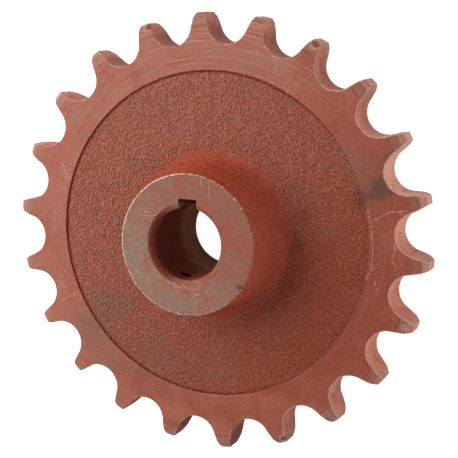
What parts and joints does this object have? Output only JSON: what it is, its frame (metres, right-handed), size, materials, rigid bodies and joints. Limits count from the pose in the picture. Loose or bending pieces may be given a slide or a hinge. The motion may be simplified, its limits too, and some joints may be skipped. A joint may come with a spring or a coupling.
{
  "type": "chain sprocket",
  "caption": "Cast-iron roller chain sprocket with a long hub on one side, a keyed bore, and a rim of rounded teeth, in red-oxide primer.",
  "frame": {"origin": "on the bore axis, at the back face of the hub, which is the face the sprocket lies on", "axes": "+Z along the bore towards the long side of the hub, +Y through the middle of the keyway"},
  "size_m": [0.1876, 0.187, 0.045],
  "materials": {
    "primed_cast_iron": "matt red-oxide primer, rubbed thin on the turned faces"
  },
  "bodies": {
    "root": {"chain_sprocket": "primed_cast_iron"}
  },
  "joints": []
}
